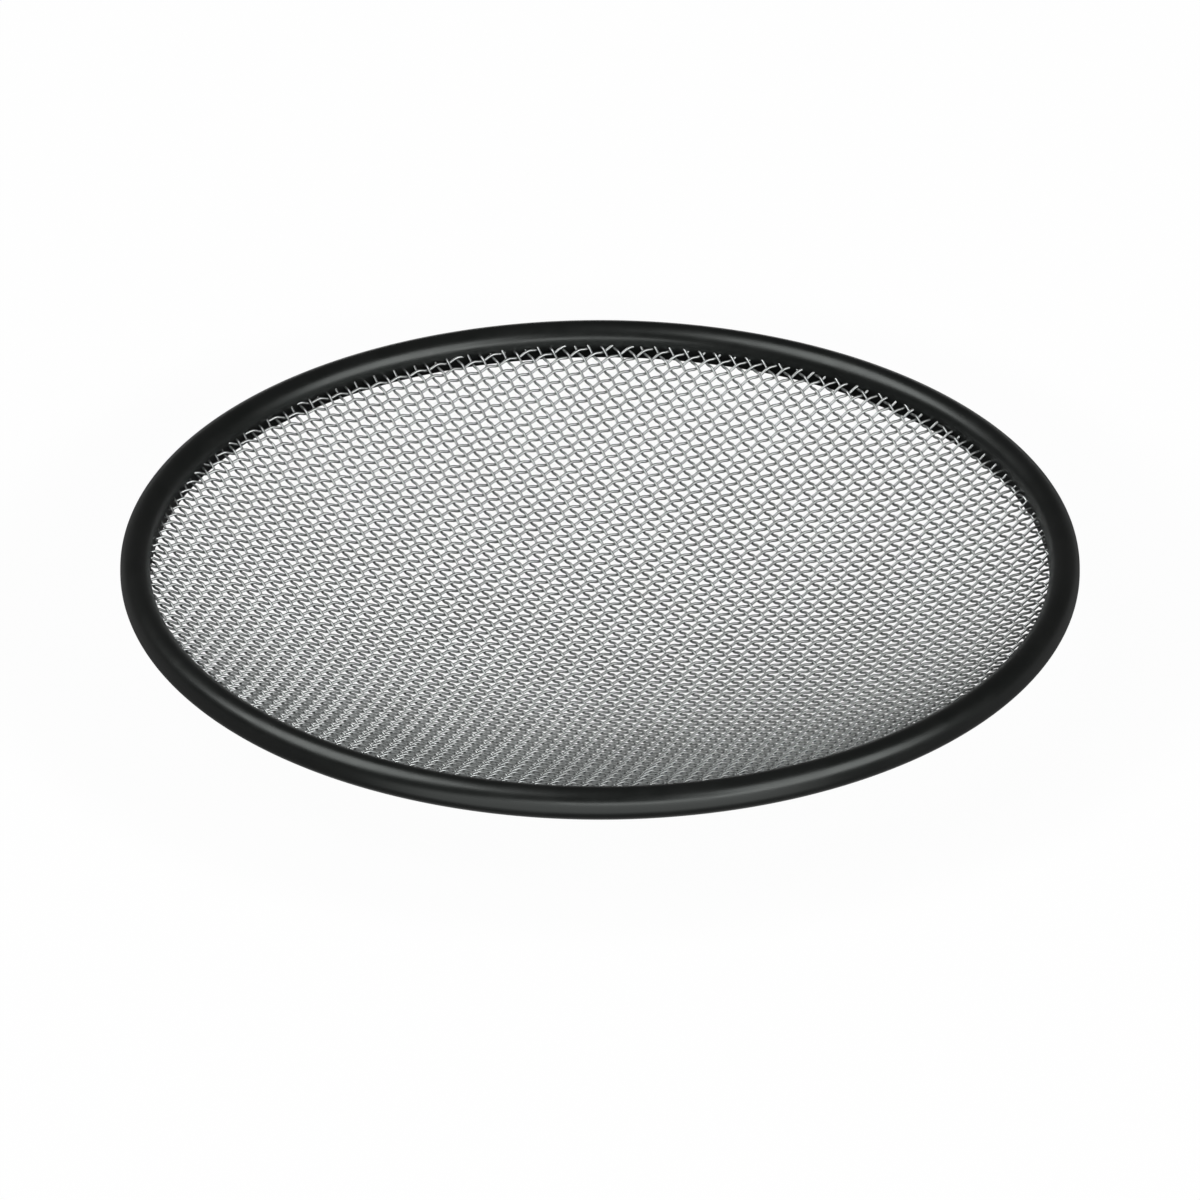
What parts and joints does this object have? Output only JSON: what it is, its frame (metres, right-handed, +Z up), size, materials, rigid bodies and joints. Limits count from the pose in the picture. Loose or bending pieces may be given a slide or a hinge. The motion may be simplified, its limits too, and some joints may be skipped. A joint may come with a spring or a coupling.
{
  "type": "oil pump strainer screen",
  "caption": "Shallow dished disc of woven wire cloth held in a round moulded rubber rim, for straining oil on its way into a pump.",
  "frame": {"origin": "under the centre of the dish, on the surface that the dish rests on", "axes": "+Z up along the screen's axis, towards the rim; the hollow of the dish faces +Z; the weave is turned 30 degrees from X"},
  "size_m": [0.0846, 0.0846, 0.0091],
  "materials": {
    "rim_rubber": "moulded black rubber with a satin surface",
    "wire_cloth": "drawn bright steel wire, plain weave"
  },
  "bodies": {
    "root": {"rim_bead": "rim_rubber", "wire_screen": "wire_cloth"}
  },
  "joints": []
}
